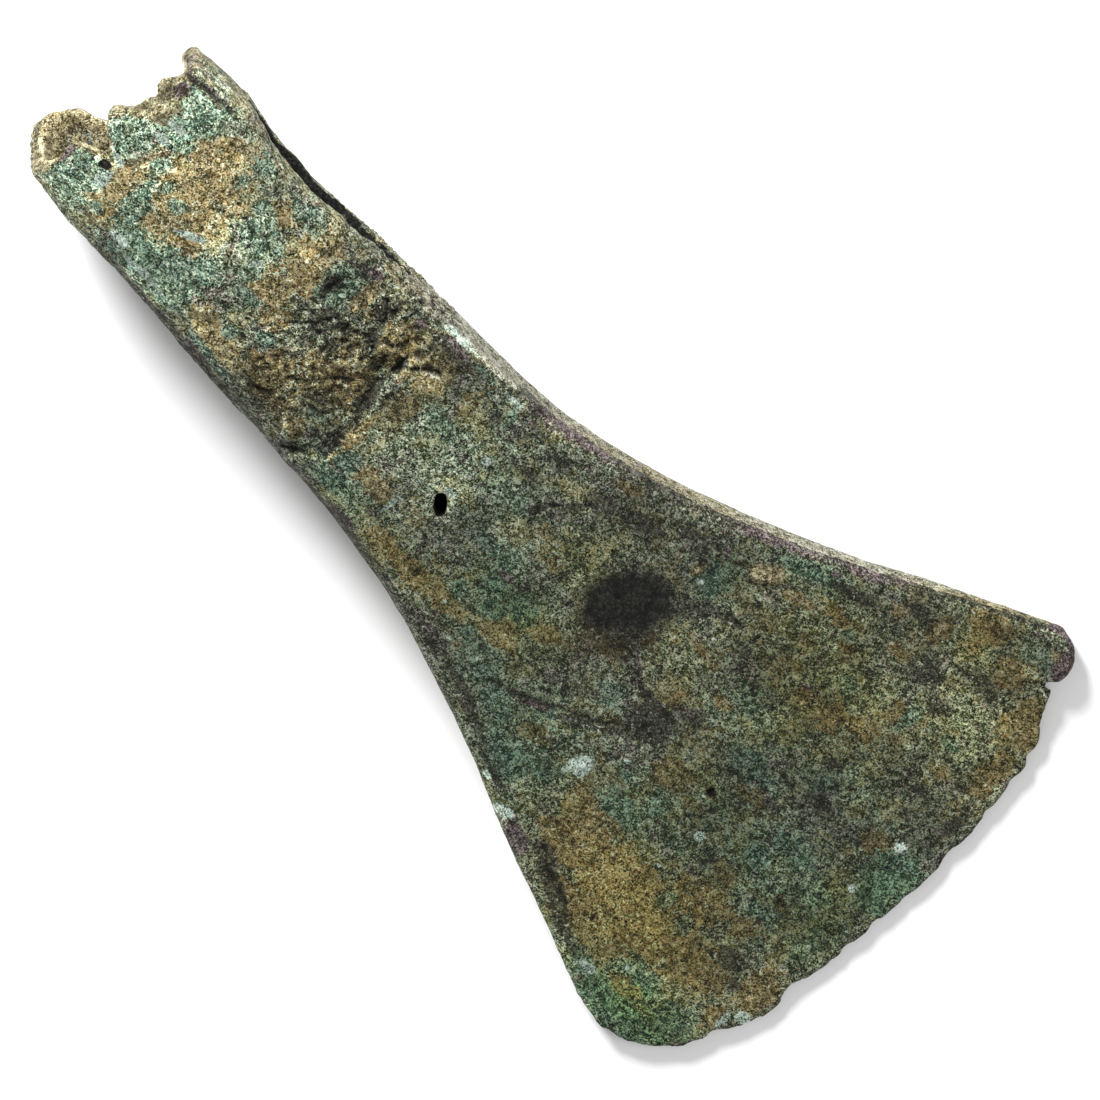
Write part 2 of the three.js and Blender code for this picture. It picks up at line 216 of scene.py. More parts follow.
# Cracks, most of them in the earth-caked skin before the step: line, half width, depth.
CRACKS = [
    ([(36.5, 10.6), (35.3, 9), (34.6, 7), (35.1, 5)], 0.28, 0.25),
    ([(41, 10.6), (42.4, 9), (43, 7.2), (42.6, 5.6), (41, 4.8), (39.4, 4.6)], 0.28, 0.35),
    ([(44.4, 6.7), (45.8, 7), (46.7, 8.3)], 0.3, 0.5),
    ([(43.6, 5.6), (44.6, 4.6), (44.2, 3)], 0.3, 0.45),
    ([(46, 5.4), (46.9, 4.3), (46.4, 2.8)], 0.3, 0.45),
    ([(48, 6.2), (48.7, 5.4), (48.2, 4.6)], 0.35, 0.8),
    ([(49.7, 6.3), (51, 7.6), (52.8, 8.5)], 0.3, 0.6),
    ([(43.6, -1.7), (44.6, -0.7), (45.7, -0.1)], 0.3, 0.4),
    ([(48.2, 0.6), (48.8, -1.4), (49.9, -3.4)], 0.3, 0.4),
    ([(35.2, 0.4), (36.6, 1.8), (38.3, 1.4)], 0.3, 0.3),
    ([(38.2, -4.4), (39.6, -5.4), (41.2, -4.8)], 0.3, 0.3),
    ([(35.6, -9.1), (38, -9.7), (40.2, -8.7)], 0.3, 0.3),
    ([(51.6, -5.8), (50.7, -7.6), (50.9, -10.4)], 0.3, 0.25),
    ([(46.8, -13), (48.5, -11.6)], 0.4, 0.4),
    ([(1.2, 12.8), (4.4, 13.3), (9.5, 13.6)], 0.35, 0.3),
    ([(88, -16.2), (92, -15), (97, -12.6), (101, -10.8), (104.4, -8.4)], 0.35, 0.18),
    ([(106.6, -3.8), (106.2, -8), (106.6, -12.4)], 0.3, 0.15),
    ([(97.2, -0.2), (99.4, -2.1), (101.2, -3.3), (104, -3.8), (108, -3.5)], 0.35, 0.18),
    ([(79.8, 9.6), (77.4, 7.4), (75.7, 5.6), (75.1, 3.8), (75.7, 2)], 0.3, 0.18),
    ([(115.4, -4.4), (117.6, -3.6), (120.8, -2)], 0.25, 0.12),
    ([(115, -19.8), (114.6, -22.4), (115.2, -26)], 0.25, 0.12),
    ([(127.4, -15.8), (125.2, -18.2), (126.9, -20.2)], 0.25, 0.12),
    ([(125.8, -22.8), (128, -22), (130.4, -22.4)], 0.25, 0.12),
    ([(108.6, -26.6), (111, -28.6), (116.6, -30.6)], 0.45, 0.2),
    ([(104.8, 19.3), (103.6, 18), (101.8, 16.7), (100.2, 16.5)], 0.25, 0.15),
    ([(99.2, 10.7), (101, 10.1), (102.3, 11.2), (104.8, 11.4)], 0.3, 0.18),
    ([(106.2, 13.3), (107.2, 12.5), (107.3, 10.9)], 0.25, 0.15),
    ([(127.6, 27), (131, 25.8), (134, 26.5), (136.4, 25.6)], 0.3, 0.15),
    ([(115.2, 9.7), (117.2, 10.6), (118.8, 9.6)], 0.25, 0.12),
    ([(67, 14), (65.2, 13.2), (65, 11.4)], 0.3, 0.15),
    ([(20.4, 5.6), (22.6, 4.9), (24, 5.4)], 0.25, 0.15),
]
# Pits: place, half width, depth.
PITS = [
    (118.4, -6.9, 0.45, 0.7), (135.8, -11.4, 0.6, 0.35), (70.8, -12.9, 0.35, 0.4),
    (35.2, 7.2, 1.5, 0.7), (124.4, -13.0, 0.5, 0.3), (1.2, -2.2, 0.9, 0.35),
    (128.5, 0.8, 0.35, 0.2), (116.4, 18.7, 0.4, 0.25), (87.5, -9.5, 0.5, 0.2),
    (60.2, 9.6, 0.5, 0.3), (54.5, 10.2, 0.6, 0.3), (76.0, -16.4, 0.5, 0.3),
]
# Lumps of crust and earth, and flakes: place, half length, half width, turn in degrees, height.
LUMPS = [
    (45.0, 7.4, 1.9, 2.6, 10, 0.55), (44.6, 2.4, 1.6, 2.2, 0, 0.4), (53.2, 7.0, 2.8, 1.3, -8, 0.35),
    (45.2, -10.9, 2.0, 0.9, -30, 0.5), (40.5, 9.2, 1.5, 1.2, 0, 0.4), (31.0, 7.6, 2.4, 1.6, 0, 0.25),
    (102.2, 18.1, 1.7, 0.9, 22, 0.22), (104.3, -16.4, 1.2, 1.4, 0, 0.12),
    (95.6, 12.6, 1.0, 0.8, 0, 0.2), (140.9, 4.9, 1.1, 1.2, 0, 0.15), (66.2, 11.2, 1.0, 0.9, 0, 0.3),
    (14.0, 6.0, 3.5, 3.0, 20, 0.25), (24.8, -6.8, 3.0, 1.4, 5, 0.3), (135.0, 33.0, 1.6, 1.2, 0, 0.3),
    (107.0, 12.4, 1.0, 0.7, 30, 0.18), (59.4, -7.6, 1.0, 1.0, 0, 0.2),
]


def ellipse(px, py, long_half, wide_half, degrees):
    c, s = math.cos(math.radians(degrees)), math.sin(math.radians(degrees))
    dx, dy = x - px, y - py
    return np.hypot((dx * c + dy * s) / long_half, (dy * c - dx * s) / wide_half)


relief = np.zeros(len(x))
for line, half_width, depth in CRACKS:
    relief -= depth * np.exp(-(from_line(line) / half_width) ** 2)
for px, py, half_width, depth in PITS:
    relief -= depth * np.exp(-(np.hypot(x - px, y - py) / half_width) ** 2)
for px, py, long_half, wide_half, degrees, height in LUMPS:
    relief += height * (1 - ramp(ellipse(px, py, long_half, wide_half, degrees), 0.45, 1.15))
set_skin(laid_down(np.stack([x, y, z + relief * on_front], 1)))

# Hollows and crests of the finished skin, against the same skin smoothed out, in tenths of a mm.
SMOOTHING_ROUNDS = 10
points = skin_points()
ends = np.empty(len(head.data.edges) * 2, np.int32)
head.data.edges.foreach_get("vertices", ends)
ends = ends.reshape(-1, 2)
count = np.bincount(ends.ravel(), minlength=len(points))[:, None]
smooth = points.copy()
for _ in range(SMOOTHING_ROUNDS):
    total = np.stack([
        np.bincount(ends[:, 0], smooth[ends[:, 1], i], len(points))
        + np.bincount(ends[:, 1], smooth[ends[:, 0], i], len(points)) for i in range(3)], 1)
    smooth = 0.5 * smooth + 0.5 * total / count
crest = ((points - smooth) * skin_normals()).sum(1) / (0.1 * MM)

bpy.ops.object.shade_smooth()
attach(head, "root")
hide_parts("axe_head")

# The bronze's skin. Copper salts and buried earth have coloured it in patches that are placed
# here as they lie on the front; the hidden back has patches of its own. Each row is place, half
# length, half width, turn in degrees and strength.
EARTH = [
    (13, 6.5, 4.6, 3.4, 0, 1.15), (14, 1.5, 4.5, 3, 0, 1.0), (16, -3, 4, 1.8, 10, 1.05),
    (13.5, 11, 3.5, 1.3, 20, 0.95), (7, -2, 1.6, 3.4, 0, 1.05), (7.5, -7.3, 2.8, 1.5, 0, 1.05),
    (7, 3.3, 0.5, 2, -30, 1.0), (24, 9.5, 2.2, 1.3, 0, 1.05), (30.5, 7.5, 2.4, 2.9, 0, 1.15),
    (30, 11, 2.8, 1.2, 0, 0.85), (29.5, 1.5, 3, 2.6, 0, 0.85), (32, 4.5, 2, 1.5, 0, 0.8),
    (33, -1, 2.5, 2, 0, 0.8), (30, -8.5, 4.5, 1.6, -10, 1.0), (27, -6.5, 1.5, 1, 0, 0.85),
    (37.5, -7, 3, 3, 0, 0.95), (44, -1, 5, 4.5, 0, 0.72), (38.8, 9, 1, 2, 0, 1.1),
    (41, 8, 0.8, 1.3, 0, 1.0), (45.5, 7, 2.4, 3.2, 0, 0.95), (45.5, -9.7, 1.4, 1.1, 0, 1.1),
    (52, 7.8, 2.5, 2.6, 10, 1.1), (52.5, 2, 2, 2.4, 0, 0.75), (51.4, -5, 0.8, 4, 0, 0.8),
    (58.5, 8, 1.4, 2.2, 0, 0.7), (57, -7.7, 1.9, 1.7, 0, 0.85), (59.4, -7.8, 1.1, 1.1, 0, 1.1),
    (64, -12.5, 2.6, 1, 0, 0.85), (70, -13, 4, 1.3, 0, 1.0), (76, -12.7, 2.8, 1.2, 0, 0.95),
    (81.5, 14.3, 2, 0.9, 20, 0.9), (83.5, -11, 2.6, 1.9, 0, 1.15), (82, 0.5, 1.2, 0.8, 0, 0.9),
    (77.5, 2.7, 1.4, 0.8, 0, 0.85), (88, -7, 2.6, 1.6, 0, 0.62), (95.3, 12.7, 0.8, 1, 0, 1.1),
    (97, -17.5, 2.2, 1.2, 30, 0.75), (113.5, -9, 2.3, 1.7, 0, 1.15), (118, -10, 2, 0.8, 0, 0.85),
    (122.5, -3.7, 1.9, 0.9, 0, 1.0), (106, -1.6, 1.1, 1.6, 0, 0.95), (110.3, 2.6, 1.3, 0.9, 0, 0.95),
    (107.5, -18.5, 2, 1.2, 0, 0.85), (111, -23, 3.6, 4.4, 0, 1.1), (121, -25, 6.6, 4.6, 0, 1.2),
    (128.5, -18, 3.4, 2.2, 0, 1.15), (120, -30.8, 6, 2.2, -15, 1.1), (128, -28.5, 4, 2.4, 0, 0.95),
    (134, -25, 5, 3.4, 0, 0.9), (135, -17, 3, 1.6, 0, 0.75), (143, -21.5, 2.4, 3, 0, 1.0),
    (141.3, -28.5, 1.1, 2, 0, 1.05), (130.5, -33.2, 3.2, 1.6, 0, 0.8), (128, -13.4, 1.9, 1.2, -10, 0.95),
    (136.3, -11.6, 0.8, 0.6, 0, 1.1), (138, 3, 2, 1.8, 0, 0.85), (101.8, 18.4, 2.2, 1.1, 30, 1.2),
    (107, 19, 2.2, 0.7, 15, 1.0), (126.5, 33.5, 2.5, 2.1, 0, 1.1), (133, 31, 2, 2.5, 0, 0.85),
    (122.3, 29, 1.2, 1.6, 0, 0.95), (139.5, 27, 2.4, 2.8, 20, 1.1), (141.5, 20, 1.5, 3.6, 5, 0.95),
    (121, 23.2, 1.5, 0.9, 0, 0.95), (116, 18.7, 1.2, 0.6, 0, 0.95), (121.5, 11, 3, 3.2, 0, 0.6),
    (137.5, 15.6, 1.1, 0.6, 0, 1.0), (117, 10, 0.9, 1.4, 0, 0.85), (127, 17, 1.1, 1.6, 0, 0.85),
    (117, 27, 1.4, 1, 0, 0.7), (126, 12.5, 3, 1.4, 0, 0.6), (112, 21, 2.4, 1.2, 0, 0.62),
    (104, 5.5, 3, 0.8, 0, 0.6), (113, 12.5, 2, 1.2, 0, 0.6), (127.4, 30.4, 0.9, 0.5, 0, 1.0),
]
# Green copper salts.
MALACHITE = [
    (6.8, 11.5, 3, 2.1, 0, 1.15), (6.3, 7, 2.5, 2.1, 0, 1.15), (2.4, 2.6, 3, 2.1, 10, 1.15),
    (8.3, 2.6, 1, 1.6, 0, 1.1), (11, 1.2, 0.8, 0.9, 0, 1.05), (13.6, 0.3, 1.2, 1, 0, 1.05),
    (9.3, -1.8, 0.9, 2.3, 0, 1.15), (10.4, -4.2, 1.3, 1.5, 0, 1.1), (2.5, -4.5, 2.6, 1.8, 0, 1.0),
    (1.5, -8, 4.6, 1.6, -8, 1.0), (7.1, -7.4, 0.9, 0.7, 0, 1.1), (13, -7.2, 2.7, 2.2, 0, 1.05),
    (19, -6.4, 3.6, 2.5, 0, 1.15), (17, -9.6, 6, 1, 0, 1.1), (22.6, -3, 2.2, 1.9, 0, 0.85),
    (24, 5, 3, 2.1, 0, 0.9), (26.5, 1.2, 1.1, 1.6, 0, 1.0), (22, 7.6, 2, 1.1, 0, 0.95),
    (17.5, 12, 2, 1.2, 0, 0.8), (26.5, 11, 3, 1.5, 0, 0.75), (16.8, 8.5, 0.8, 1.2, 0, 0.85),
    (35.3, 7.4, 1.9, 2.4, 0, 1.1), (30.3, -6.4, 0.9, 1, 0, 1.1), (31.5, -11.2, 3.6, 0.6, -8, 1.1),
    (28, -1.5, 1.8, 1.5, 0, 0.75), (34, -4, 1.4, 1.2, 0, 0.85), (46, -6, 1.8, 1.3, 0, 0.75),
    (53.2, -8, 1.3, 1.6, 0, 0.95), (54, -11.2, 3, 1.4, 0, 0.85), (57, 12.3, 1.8, 0.6, 0, 0.95),
    (63.6, 10.5, 0.6, 1.8, 20, 0.85), (74, -3.5, 2.1, 1, 0, 0.95), (77.5, -3.2, 1.3, 1.3, 0, 1.05),
    (81, -9.4, 1.7, 1.2, 0, 1.1), (84, -6.5, 2.1, 1.6, 0, 0.95), (85.2, -15.5, 2.5, 2.3, 0, 1.1),
    (79, -7, 2, 1.4, 0, 0.75), (76, -10.5, 1.3, 0.9, 0, 0.85), (81, -14, 1.2, 1.4, 0, 0.9),
    (90.5, -18, 3, 1.6, -20, 0.85), (95.5, -14, 1.6, 1, 0, 0.9), (96.5, -22.5, 4, 2, -20, 0.85),
    (97.8, 13.2, 1.7, 2, 0, 0.9), (105, 22.6, 4, 1, 20, 0.85), (100, -7, 3, 2, 0, 0.65),
    (115, 20.3, 0.7, 0.8, 0, 1.05), (119.8, 15.3, 1.6, 1.2, 0, 0.95), (128.6, 17.5, 0.9, 2, 0, 0.95),
    (127, 4, 2.6, 1.6, 0, 0.7), (134, 35.3, 3, 1.8, 0, 0.7), (135, 19, 1.6, 1, 0, 0.75),
    (143, 1.3, 2.9, 3.2, 0, 1.2), (143.5, -2.6, 2.2, 1.6, 0, 1.0), (112, -17, 3.4, 1.8, 0, 0.85),
    (125.3, -21.3, 0.9, 1.3, 0, 1.1), (138, -17.3, 1, 1, 0, 0.9), (131.5, -30.8, 3.6, 1.2, -20, 0.95),
    (134, -36.8, 7, 1.9, 0, 1.1), (125, -35, 2.4, 1.1, -20, 1.1), (128.8, -31.2, 0.8, 0.8, 0, 1.15),
    (138.5, -32.5, 2.6, 3, 0, 0.85), (129, -9, 1.7, 1.6, 0, 0.95), (132, -5, 4, 2, 0, 0.7),
    (120, -1, 4, 2, 0, 0.75), (115, -13.3, 1.2, 1.6, 0, 0.9), (142.5, -13, 1.6, 3, 0, 0.75),
    (135, -14, 3, 1.2, 0, 0.75), (138, -7.5, 2.6, 1.8, 0, 0.7), (112.5, 5, 3, 2, 0, 0.6),
    (120.5, -15.5, 1.6, 1.4, 0, 0.7), (101, -20, 2.4, 1.6, 0, 0.75), (109.5, -13, 1.2, 1, 0, 0.7),
    (71, 3, 4, 2.6, 0, 0.55), (58, 3.6, 3, 2, 0, 0.55),
]
# Dark, nearly black bronze, in hollows and as streaks.
DARK = [
    (49.4, -4, 0.45, 6, 0, 0.95), (38.5, 4.2, 3, 1, 0, 0.9), (43.2, 6.2, 0.8, 2.6, 20, 0.95),
    (41.8, 9.8, 1.6, 1.8, 0, 1.0), (36.5, 2.6, 1.6, 1, 0, 0.85), (40.5, 1, 1, 1.6, 0, 0.7),
    (48.4, 1.6, 0.7, 2, 20, 0.85), (44.6, -4.8, 2.6, 0.6, 20, 0.8), (38, -3, 2, 0.8, 40, 0.75),
    (52, 11.6, 4, 1, 0, 0.95), (36.5, 11.5, 3, 0.8, 10, 0.8), (20.6, 5.4, 0.4, 0.4, 0, 1.0),
    (34.4, 6.8, 0.8, 1.6, 0, 1.1), (62, 9, 1.4, 1.6, 0, 0.7), (70, 7, 3, 1, 0, 0.75),
    (75, 4.2, 0.6, 2, -20, 0.9), (78, 7, 0.5, 1.6, -40, 0.9), (80, 10.3, 2.6, 1.5, 0, 0.85),
    (72.5, 10.5, 2.4, 1.4, 0, 0.7), (86, 12, 3.4, 1.4, 15, 0.9), (92, 15.8, 4, 1.2, 15, 0.75),
    (99, 8.6, 2.5, 1.4, 0, 0.9), (103, 10.8, 2, 0.6, 10, 1.05), (106, -6, 3.2, 3, 0, 0.95),
    (104.5, -3.7, 2.6, 0.6, -5, 1.1), (101, -11.6, 4.4, 0.8, 32, 1.05), (94, -14.6, 3, 0.8, 25, 0.9),
    (97, -9, 3, 1.6, 20, 0.6), (109.5, -1.4, 2, 1.5, 0, 0.75), (110.5, -27.8, 2.2, 1.2, -20, 0.95),
    (114, -30.3, 5, 0.9, -20, 1.1), (119, -33.2, 4, 0.7, -18, 1.0), (88, -20.5, 6, 0.8, -22, 1.0),
    (97, -24.8, 5, 0.6, -20, 0.8), (77, -17.8, 5, 0.7, -12, 0.95), (137, -21, 2.2, 1.2, 0, 0.95),
    (139.8, -23.2, 1.3, 1, 0, 1.0), (125, -14, 1.3, 0.35, 45, 1.2), (125.2, -3, 1.4, 0.9, 0, 0.9),
    (129, 1.5, 2.2, 1, 0, 0.75), (132, 27.6, 3.5, 1, 0, 0.95), (125.5, 23.6, 2.6, 1.8, 0, 0.85),
    (130, 21.5, 2, 1.4, 0, 0.8), (111, 24.3, 3.4, 0.8, 20, 0.95), (119, 28.6, 2, 1, 0, 0.75),
    (138, 8.4, 1.3, 0.8, 0, 0.95), (136, 11.8, 1.2, 0.8, 0, 0.95), (123.5, 1, 1.6, 0.4, 0, 0.95),
    (126, 6.6, 1.6, 1, 0, 0.7), (103, 14, 2, 1, 0, 0.6), (25, -12.7, 14, 0.9, -3, 0.9),
    (60, -15.2, 8, 0.7, -6, 0.9), (66, 9.5, 1.6, 1, 0, 0.6), (60.5, -10.8, 1.4, 1, 0, 0.7),
    (143.4, 12, 1.2, 4, 0, 0.7), (135, -22.5, 3, 0.5, 0, 0.7),
]
# The black stain in mid blade, and the deepest spots and holes.
STAIN = [
    (92.4, 3.5, 4.9, 3.6, 46, 1.6), (96.4, 5.6, 2, 1.1, 20, 0.85), (90.2, 1, 2.2, 2, 0, 0.8),
    (118.6, -7.1, 0.65, 0.55, 0, 1.4), (70.4, -12.4, 0.4, 0.35, 0, 1.2), (135.4, -11.2, 0.5, 0.3, 0, 1.1),
    (125, -13.9, 0.9, 0.2, 45, 1.2), (48.6, 5.6, 0.35, 0.4, 0, 1.3), (49.9, 6.8, 0.5, 0.25, 30, 1.2),
    (50.8, 8.2, 0.8, 0.25, 40, 1.1), (43.4, 5, 0.3, 0.8, 20, 1.1), (20.6, 5.4, 0.3, 0.25, 0, 1.1),
    (34.5, 6.4, 0.5, 0.9, 0, 0.9), (50.2, -6.4, 0.25, 1, 10, 0.9),
]
# Brown shadows round the stain and in the caked crust.
UMBER = [
    (93.6, -1.6, 3.6, 2.6, 0, 1.15), (97.8, 2.2, 1.2, 2, 0, 0.9), (92, -5.4, 3, 1.6, 0, 0.6),
    (40, -9.3, 6, 2.4, 0, 0.75), (44, -3, 5.4, 5, 0, 0.72), (143.6, -20.5, 2, 2, 0, 0.6),
    (84.5, -9.5, 2.4, 1, 0, 0.6), (0.6, -1.6, 1.8, 0.8, 0, 1.2), (1.6, 9.3, 0.9, 1, 0, 0.8),
]
# Purple-brown copper oxide.
CUPRITE = [
    (3, 12.3, 0.8, 1.8, 0, 1.35), (5.6, 13.9, 2.8, 0.6, 0, 1.2), (-0.9, -4.4, 0.5, 1.6, 10, 1.1),
    (46.3, 11.3, 0.9, 0.9, 0, 1.0), (37.6, 12, 1.6, 0.8, 0, 0.85), (52, 12.2, 3, 0.5, 0, 0.8),
    (30, -12, 3, 0.5, -5, 0.9), (106, -29, 2.2, 1.1, -25, 1.35), (94, -14.6, 3, 0.5, 25, 0.8),
    (99.6, -1.7, 2.3, 0.45, -35, 1.05), (102, -3.4, 1, 0.4, -20, 0.9), (108, 24.7, 0.7, 0.5, 0, 1.1),
    (79, -5, 1.2, 0.45, 0, 1.0), (96, 17, 0.4, 1, 20, 0.9), (137.4, 37, 1.8, 2.4, 0, 1.0),
    (124.5, -2.6, 1, 0.6, 0, 0.7), (77, -16.8, 1.6, 0.6, 0, 0.75), (20.5, 13, 2.6, 0.6, 0, 0.7),
    (58, -14, 4, 0.5, -4, 0.8), (109, -1.6, 1.4, 1, 0, 0.6), (116.5, 11.6, 0.7, 0.5, 0, 0.8),
]
# Pale mint crystals.
MINT = [
    (104.5, -16.2, 1.15, 1.35, 0, 1.4), (103.3, -18, 0.5, 0.5, 0, 1.1), (102.3, -27.5, 1.5, 0.7, 10, 1.2),
    (97, -25.6, 0.9, 0.4, -20, 1.0), (141, 4.8, 0.9, 0.8, 0, 1.05), (140.7, -3.4, 0.6, 0.5, 0, 1.1),
    (144, -25.6, 0.9, 0.7, 0, 1.3), (142.5, -27.6, 0.5, 1.5, 0, 0.95), (108, -11.6, 0.45, 0.35, 0, 1.1),
    (121.2, -18.6, 0.3, 0.4, 0, 1.1), (144.5, -8, 0.3, 0.3, 0, 1), (118.4, -8, 0.35, 0.3, 0, 1.0),
    (4.6, -4, 0.8, 1.6, 0, 1.1), (3.9, -0.6, 1.2, 0.5, -20, 1.0), (6, 7.7, 1.4, 0.6, 0, 1.1),
    (5.8, 5.4, 1.4, 0.8, 0, 0.75), (12, -8.2, 1.6, 0.8, 0, 0.9), (17, -9.4, 4.5, 0.6, 0, 0.85),
    (17.5, -1.2, 2.4, 0.6, 25, 0.8), (26, 2.2, 0.8, 0.8, 0, 0.8), (61.3, -8.8, 0.35, 1.9, 0, 0.95),
    (65.5, 4.3, 0.9, 0.7, 0, 0.8), (65.6, -2, 1.2, 0.8, 0, 0.7), (122, -12.3, 0.9, 0.8, 0, 0.8),
    (80.2, -16, 0.4, 0.3, 0, 0.9), (76, -12.9, 0.4, 0.3, 0, 1.0), (125, -34.9, 1.3, 0.6, 0, 0.9),
    (128.8, -31.4, 0.6, 0.5, 0, 0.9), (113.8, -35.2, 3, 0.4, -20, 0.6), (96.5, 11.8, 0.6, 0.4, 0, 1.0),
    (51.6, 13.2, 3, 0.4, 0, 0.85), (62.5, 12.2, 2, 0.5, 0, 0.8), (20, -6.4, 1.8, 1.2, 0, 0.55),
]
# Bare tan lime and clay: round the torn mouth, and as flakes.
TAN = [
    (0.2, 13.4, 1.2, 1.7, 0, 1.1), (1.9, 9.2, 2.5, 1.7, 0, 1.25), (3, 7, 1.9, 1, 20, 1.15),
    (0.4, 6.2, 1.5, 1.6, 0, 1.15), (-0.6, 4.1, 0.9, 1, 0, 1.0), (-3, -2, 2.4, 4, 0, 1.1),
    (3.4, 11, 0.7, 1.2, 0, 0.9), (101.8, 18.4, 2, 1, 30, 1.15), (107, 19, 2, 0.6, 15, 0.8),
    (59.4, -7.8, 0.9, 0.9, 0, 0.95), (38.8, 9, 0.8, 2, 0, 0.85), (45.5, -9.7, 1.1, 0.9, 0, 0.9),
    (122.3, 29, 1, 1.4, 0, 0.7), (95.3, 12.8, 0.7, 0.8, 0, 0.85), (53, 8, 2.2, 0.7, 35, 0.8),
    (14, 11.6, 3, 0.9, 25, 0.7), (32, 9, 1.2, 1.8, 0, 0.75), (7, 3.2, 0.4, 2, -30, 0.9),
    (22.4, 1, 1.6, 0.4, -45, 0.8), (135.4, 37, 1, 0.8, 0, 0.9), (49.6, 5, 0.5, 1.6, 0, 0.8),
    (51.2, -8, 0.4, 2.2, 0, 0.6), (5.4, 0.6, 1.2, 0.5, 20, 0.8), (8.8, -9, 1.4, 0.5, 0, 0.8),
]
# Where the whole skin is greener, and where it is yellower.
VERDIGRIS = [
    (16, -8, 8, 3, 0, 0.35), (64, 3, 11, 6, 0, 0.4), (80, -7, 6, 5, 0, 0.8),
    (97, -18, 8, 6, -20, 0.8), (130, -9, 13, 6, 0, 0.8), (143, 0, 4, 5, 0, 1.0), (132, -35, 9, 4, 0, 1.0),
    (114, -14, 6, 4, 0, 0.7), (118, 2, 8, 4, 0, 0.5), (106, 23, 5, 2, 20, 0.6), (98, 14, 3, 4, 0, 0.6),
    (56, -11, 6, 2.4, 0, 0.6), (132, 6, 8, 3, 0, 0.5),
]
YELLOWING = [
    (118, 13, 10, 8, 0, 1.0), (112, 20, 8, 4, 15, 0.7), (136, 22, 8, 9, 0, 0.7), (125, -25, 14, 8, 0, 1.0),
    (86, -8, 6, 4, 0, 0.7), (70, -13, 8, 2, 0, 0.7), (84, 3.5, 4, 3.5, 0, 0.8), (134, -34, 8, 4, 0, 1.0),
    (141, -9, 4, 8, 0, 0.8), (117, -8, 5, 4, 0, 0.6), (104, 3, 6, 4, 0, 0.5), (128, 31, 6, 5, 0, 0.8),
    (107, -22, 5, 5, 0, 0.6),
]
# Where the skin is paler, as dried earth and worn crust leave it.
PALE = [
    (6, 0, 12, 15, 0, 1.3), (18, 2, 9, 10, 0, 1.12), (28, 4, 7, 9, 0, 0.85), (20, -9.5, 12, 3, 0, 1.1),
    (42, 0, 8, 12, 0, 0.56), (60, -2, 10, 9, 0, 0.5),
    (57, -2, 6, 8, 0, 0.75), (63, 2, 7, 9, 0, 0.66), (74, 2, 6, 5, 0, 0.3), (84, 3, 4, 5, 0, 0.25),
    (45, 7, 3, 4, 0, 0.25), (118, -26, 13, 6, -15, 0.34), (131, -33, 8, 5, 0, 0.46),
    (136, 23, 8, 9, 0, 0.4), (143, -18, 3, 6, 0, 0.2), (118, 16, 9, 6, 0, 0.2), (110, 3, 8, 3, 0, 0.14),
]
# How pale, and how tan, the side that looks up in the picture is, along the head.
CREAM = [(36, 0), (42, 0.5), (50, 1.0), (60, 1.15), (66, 0.8), (78, 0.45), (92, 0.5), (102, 0.7),
         (108, 0.85), (116, 0.7), (124, 0.3), (130, 0)]
CLAY = [(14, 0.5), (30, 0.35), (44, 0.6), (58, 0.4), (66, 0.85), (80, 1.0), (98, 0.9), (108, 0.6),
        (116, 0.85), (127, 0.9), (134, 0.3)]
# Where the arris below it is purple.
PLUM = [(62, 0), (66, 0.75), (74, 0.75), (80, 0.4), (93, 0.4), (96, 0.9), (105, 0.8), (107, 0.5),
        (109, 0.9), (114, 0.8), (118, 0)]


# A patch falls to half its strength at its outline.
def patches(rows):
    strongest = np.zeros(len(x))
    for px, py, long_half, wide_half, degrees, strength in rows:
        spread = strength * np.exp(-0.69 * ellipse(px, py, long_half, wide_half, degrees) ** 2)
        strongest = np.maximum(strongest, spread)
    return strongest


def along_head(rows):
    return np.interp(x, [row[0] for row in rows], [row[1] for row in rows])


square = squared(skin_points())
facing = turned(skin_normals())
x, y, z = square.T
front = ramp(facing[:, 2], -0.25, 0.15) * (1 - lining)
high_side = ramp(facing[:, 1], 0.4, 0.75) * (x < 138) * (1 - lining) * (1 - broken)
arris = np.exp(-((facing[:, 1] - 0.35) / 0.16) ** 2) * (y > 0)
arris = arris * ramp(x, 50, 60) * (1 - ramp(x, 118, 128))
edge_rim = ramp(-facing[:, 2], -0.85, -0.5) * (y < 38) * front
edge_rim = edge_rim * ramp(x - 0.25 * np.abs(y), 112, 124)
hook_rim = ramp(-facing[:, 2], -0.8, -0.45) * (x > 132) * (y > 33.5)
# Both casting holes get painted black shade inside; the butt's shows as a small painted black diamond.
neck_hole = (np.hypot(x - NECK_HOLE[0], y - NECK_HOLE[1]) < 2.4) * (z < 5.6) * (z > 0)
diamond = np.abs(x - BUTT_HOLE[0]) / 1.05 + np.abs(y - BUTT_HOLE[1] + 0.05) / 0.75
butt_hole = (diamond < 1) * (z > -2)
# So does the gash through the socket's high side, which is widest nearer the mouth.
GASH_FROM, GASH_WIDEST, GASH_TO = 11.5, 24.0, 42.0
GASH_HEIGHT = 4.6
GASH_Z = 2.2
along = np.linspace(0, 1, 30)
gash_x = (GASH_FROM * (1 - along) ** 2 + 2 * GASH_WIDEST * along * (1 - along)
          + GASH_TO * along ** 2)
gash_half = np.interp(x, gash_x, 2 * GASH_HEIGHT * along * (1 - along))
in_gash = 1 - ramp(np.abs(z - GASH_Z) - gash_half, 0.1, 0.5)
in_gash = in_gash * (x > GASH_FROM) * (x < GASH_TO) * (y > 9)


# Soft patches of a given size all over, for the surfaces that the front's patches don't reach.
def wander(size, seed):
    return np.array([0.5 + 0.5 * noise.fractal(
        Vector((a / size, b / size, c / size + seed)), 0.8, 2.0, 3) for a, b, c in square])


